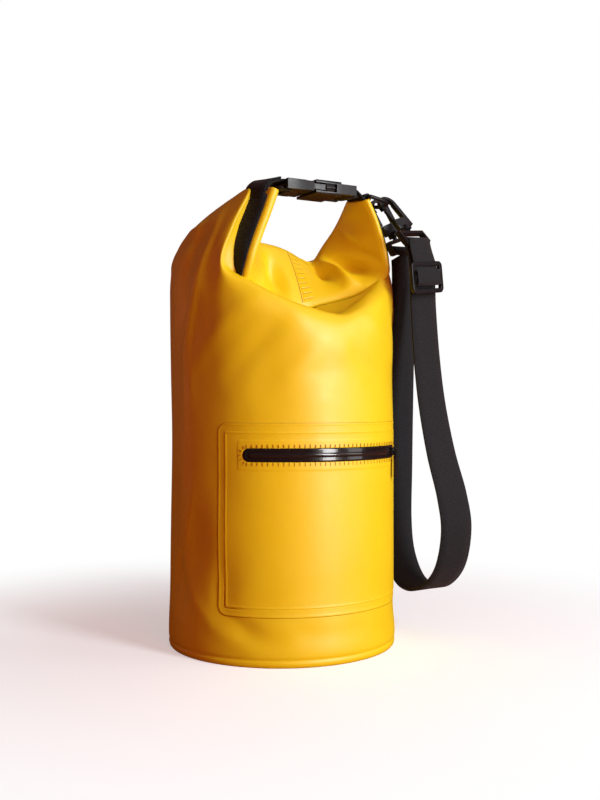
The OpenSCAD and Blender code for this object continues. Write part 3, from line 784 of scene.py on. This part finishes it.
CLOSURE_WIDE, CLOSURE_THICK = 25, 1.6
ENDS = 8  # stations at each end of the roll that its turned ends take over
lean = 1 - smooth(np.abs(rt - 7), 2.2, 4.2)
place = 13.0 * (1 - lean) + 9.4 * lean
centre = r_front + across * place[:, None] - r_norm * (thick + 0.9)[:, None]
wrap = [(29.3, -55, 400.9), (28.8, -55, 397.8), (31.2, -55, 395.7), (35.0, -55, 395.4), (38.5, -55, 395.8)]
outer_left = [(-54.4, -55, 389.5), (-53.0, -55, 395.5), (-48.0, -55, 400), (-41, -55, 402.2),
              (-33, -55, 402.5)]
outer_right = [(47.4, -54.9, 389.5), (44.9, -55, 394.2), (40.8, -55, 398.2), (36.6, -55, 401.2),
               (32.6, -55, 402.3)]
left_way, right_way = (-0.27, 1, 0.04), (0, 1, 0.04)
ends = []
for s, inner, outer in ((-1, centre[ENDS], outer_left), (1, centre[-ENDS - 1], outer_right)):
    tip = spline(np.vstack([[inner], outer, np.array(wrap) * [s, 1, 1]]), np.linspace(0, 10, 61))
    ends.append(tip[1:] if s > 0 else tip[:0:-1])
left_n, right_n = len(ends[0]), len(ends[1])
centre = np.vstack([ends[0], centre[ENDS:-ENDS], ends[1]])
way = np.vstack([[left_way] * left_n, across[ENDS:-ENDS], [right_way] * right_n])
web = ribbon("closure_webbing", centre, way, CLOSURE_WIDE, CLOSURE_THICK, WEB, None, "closure_webbing")
SIDES = 14  # faces round a ribbon
cut_at = (left_n + (NR - 2 * ENDS) // 2) * SIDES
web_halves = halves(web, ("closure_webbing_left_part", "closure_webbing_right_part"),
                    lambda i, c: i < cut_at or i == (len(centre) - 1) * SIDES)
follow_ears(web_halves)
for o, n in zip(web_halves, ("closure_webbing_left", "closure_webbing_right")):
    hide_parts(n, "closure_webbing_middle")

# the left webbing's end, sewn back down its own outside
tail = spline([(-38, -55, 404.2), (-42, -55, 403.9), (-49.2, -55, 401.7), (-54.8, -55, 396.3),
               (-56.6, -55, 389.5), (-58, -54.6, 384.5)], np.linspace(0, 5, 40))
ribbon("closure_webbing_end", tail, [left_way] * 40, CLOSURE_WIDE, CLOSURE_THICK, WEB, "ear_left",
       "closure_webbing")

# ---------------------------------------------------------------- pocket and zip

POCKET_HALF, POCKET_Z0, POCKET_Z1, POCKET_ROUND = 61.6 * ARC, 40, 200, 9
ZIP_HALF_ANGLE, ZIP_Z = 47.6, 173.0
ZIP_HALF = ZIP_HALF_ANGLE * ARC
WINDOW_HALF, WINDOW_ROUND = 5.65, 5.6


def arc_patch(a0, a1, z0, z1, step, height):
    """A patch over the tube's front: height(arc mm, z) gives its outer surface in mm above the fabric."""
    na, nz = int(round((a1 - a0) * ARC / step)) + 1, int(round((z1 - z0) / step)) + 1
    aa, zz = np.meshgrid(np.linspace(a0, a1, na), np.linspace(z0, z1, nz), indexing="ij")
    h = height((aa - FRONT) * ARC, zz)
    top = on_wall(aa, zz, h)
    return na, nz, top


def rounded_distance(x, z, half, z0, z1, r):
    """How far inside a rounded rectangle a point is, in mm; negative outside."""
    cx, cz = np.abs(x) - (half - r), np.abs(z - (z0 + z1) / 2) - ((z1 - z0) / 2 - r)
    return -(np.hypot(np.maximum(cx, 0), np.maximum(cz, 0)) + np.minimum(np.maximum(cx, cz), 0) - r)


def pocket_height(x, z):
    """The pocket's outer surface above the tube: its edge, the welded groove, the zip's frame and window."""
    d = rounded_distance(x, z, POCKET_HALF, POCKET_Z0, POCKET_Z1, POCKET_ROUND)
    h = 0.95 * smooth(d, 0, 0.9) - 0.15
    h = h - 0.6 * bell(d, 7.0, 0.7) + 0.35 * bell(d, 8.4, 0.9) + 0.25 * bell(d, 1.8, 1.0)
    h = h + 0.5 * smooth(d, 10, 40)
    zip_d = rounded_distance(x, z, 88, 160, 186, 3)
    h = h + 0.25 * smooth(zip_d, 0, 1.2)
    window_d = rounded_distance(x, z, ZIP_HALF, ZIP_Z - WINDOW_HALF, ZIP_Z + WINDOW_HALF, WINDOW_ROUND)
    window = smooth(window_d, -0.3, 0.3)
    return np.where(d < 0, -0.25, h * (1 - window) + 0.3 * window)


na, nz, top = arc_patch(FRONT - 62.1, FRONT + 62.1, POCKET_Z0 - 1, POCKET_Z1 + 1, 0.65, pocket_height)
pocket = piece("pocket_panel_skin", top.reshape(-1, 3) * MM, grid_faces(na, nz), PVC, "bag", "coated_fabric")
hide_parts("pocket_panel", "pocket_weld_border")


def outline(name, half, z0, z1, r, wide):
    """A line welded round the pocket, rounded at its corners, half mm to each side of the front, painted dark
    as the shade along the weld's groove and edge.
    """
    pts = []
    x1 = half - r
    for cx, cz, a0 in ((x1, z1 - r, 0), (-x1, z1 - r, 90), (-x1, z0 + r, 180), (x1, z0 + r, 270)):
        arc = np.radians(np.linspace(a0, a0 + 90, 12))
        pts += [(cx + r * math.cos(t), cz + r * math.sin(t)) for t in arc]
    p = np.array(pts)
    p = np.vstack([p, p[:1]])
    run = np.concatenate([[0], np.cumsum(np.linalg.norm(np.diff(p, axis=0), axis=1))])
    at = np.linspace(0, run[-1], 720, endpoint=False)
    x, z = np.interp(at, run, p[:, 0]), np.interp(at, run, p[:, 1])
    tx, tz = np.roll(x, -1) - np.roll(x, 1), np.roll(z, -1) - np.roll(z, 1)
    size = np.hypot(tx, tz)
    nx, nz_ = tz / size, -tx / size
    rows = []
    for off, up_ in ((-wide / 2, 0.0), (0.0, 0.1), (wide / 2, 0.0)):
        ox, oz = x + nx * off, z + nz_ * off
        rows.append(on_wall(FRONT + ox / ARC, oz, pocket_height(ox, oz) + 0.06 + up_))
    grid = np.stack(rows, 1)
    return piece(name, grid.reshape(-1, 3) * MM, grid_faces(720, 3, wrap=True), WELD_SHADE, "bag", "coated_fabric")


outline("pocket_outer_line", POCKET_HALF - 0.7, POCKET_Z0 + 0.7, POCKET_Z1 - 0.7, POCKET_ROUND - 0.7, 0.5)
outline("pocket_inner_line", POCKET_HALF - 7.0, POCKET_Z0 + 7, POCKET_Z1 - 7, 3.5, 0.55)


def strip(name, inset, half, out, thick, mat, slot, round_end, crown=0.0, n=260, rows=9):
    """A thin strip along the zip, half mm to each side of its middle, with rounded ends."""
    verts = []
    a0, a1 = FRONT - ZIP_HALF_ANGLE + inset, FRONT + ZIP_HALF_ANGLE - inset
    for a in np.linspace(a0, a1, n):
        edge = min(a - a0, a1 - a) * ARC
        h = half
        if edge < round_end:
            h = half * math.sqrt(max(1e-4, 1 - ((round_end - edge) / round_end) ** 2))
        zs = np.linspace(ZIP_Z - h, ZIP_Z + h, rows)
        bulge = crown * (1 - ((zs - ZIP_Z) / half) ** 2)
        pts = on_wall(np.full(rows, a), zs, out + thick + bulge)
        verts += [on_wall(np.array([a]), zs[:1], out)[0], *pts, on_wall(np.array([a]), zs[-1:], out)[0]]
    return piece(name, np.array(verts) * MM, grid_faces(n, rows + 2), mat, "bag", slot)


tape = strip("zip_window_tape", 0, WINDOW_HALF, 1.0, 0.35, GLOSS, "zip_tape", round_end=WINDOW_ROUND)
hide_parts("zipper_tape_upper", "zipper_tape_lower")
ridge = strip("zip_coil_ridge", 3.4, 1.9, 1.3, 0.1, GLOSS, "zip_coil", round_end=2.0, crown=0.75)
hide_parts("zipper_coil")


def ticks():
    """The welding bar's short marks in the fabric round the zip's window, small dark boxes that paint the
    shade in each impression.
    """
    verts, faces, marks = [], [], []
    pitch, tall, wide, deep = 4.3, 2.8, 0.5, 0.3
    away = WINDOW_HALF + 0.3 + tall / 2
    for k in range(int(2 * (ZIP_HALF - 4) / pitch) + 1):
        x = -ZIP_HALF + 4 + k * pitch
        marks += [(x, ZIP_Z + away, 0.0), (x, ZIP_Z - away, 0.0)]
    for s in (-1, 1):
        for t in np.radians((-60, -30, 0, 30, 60)):
            x = s * (ZIP_HALF - 5.0 + away * math.cos(t))
            marks.append((x, ZIP_Z + away * math.sin(t), s * (math.pi / 2 - t)))
    for x, z, lean in marks:
        a = FRONT + x / ARC
        p = on_wall(np.array([a]), np.array([z]), 1.75)[0]
        t = math.radians(a)
        n = np.array([math.cos(t), math.sin(t), 0])
        u = np.array([-math.sin(t), math.cos(t), 0])
        up = np.array([0, 0, 1.0])
        ax = u * math.cos(lean) - up * math.sin(lean)
        az = u * math.sin(lean) + up * math.cos(lean)
        k = len(verts)
        verts += box_mesh(*p, ax, n, az, wide, deep, tall)
        faces += [tuple(k + i for i in f) for f in BOX_FACES]
    return np.array(verts), faces


tick_points, tick_sides = ticks()
# painted shade of the welding bar's impressions round the zip
marks = piece("zip_weld_marks", tick_points * MM, tick_sides, WELD_SHADE, "bag", "coated_fabric", smooth=False)
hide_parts("zip_weld_frame")

# ---------------------------------------------------------------- moulded parts

bevelled("buckle_male_part", "buckle_male", PLASTIC, "ear_left", "buckle_plastic", 1.3)
bevelled("buckle_female_part", "buckle_female", PLASTIC, "ear_right", "buckle_plastic", 1.3)
bevelled("buckle_arm_front_part", "buckle_arm_front", PLASTIC, "arm_front", "buckle_plastic", 0.5)
bevelled("buckle_arm_back_part", "buckle_arm_back", PLASTIC, "arm_back", "buckle_plastic", 0.5)
bevelled("tri_glide_part", "tri_glide", PLASTIC, "glide", "buckle_plastic", 0.7)
bevelled("strap_fold_part", "strap_fold", WEB, "glide", "strap_webbing", 0.6)
for k in "ab":
    bevelled(f"hook_{k}_frame_part", f"hook_{k}_frame", PLASTIC, f"hook_{k}", "hook_plastic", 0.8)
    bevelled(f"hook_{k}_gate_part", f"hook_{k}_gate", PLASTIC, f"gate_{k}", "hook_plastic", 0.4)
    bevelled(f"hook_{k}_swivel_part", f"hook_{k}_swivel", PLASTIC, "strap", "hook_plastic", 0.8)
bevelled("zipper_slider_part", "zipper_slider", PLASTIC, "zip_slider", "zip_slider", 0.4)
bevelled("zipper_puller_part", "zipper_puller", PLASTIC, "zip_puller", "zip_slider", 0.3)
for n, mat in (("dee_ring", PLASTIC), ("dee_tab", WEB), ("zipper_stops", COIL), ("base_disc", PVC)):
    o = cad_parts[n]
    o.data.materials.clear()
    o.data.materials.append(mat)

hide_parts("strap_webbing")
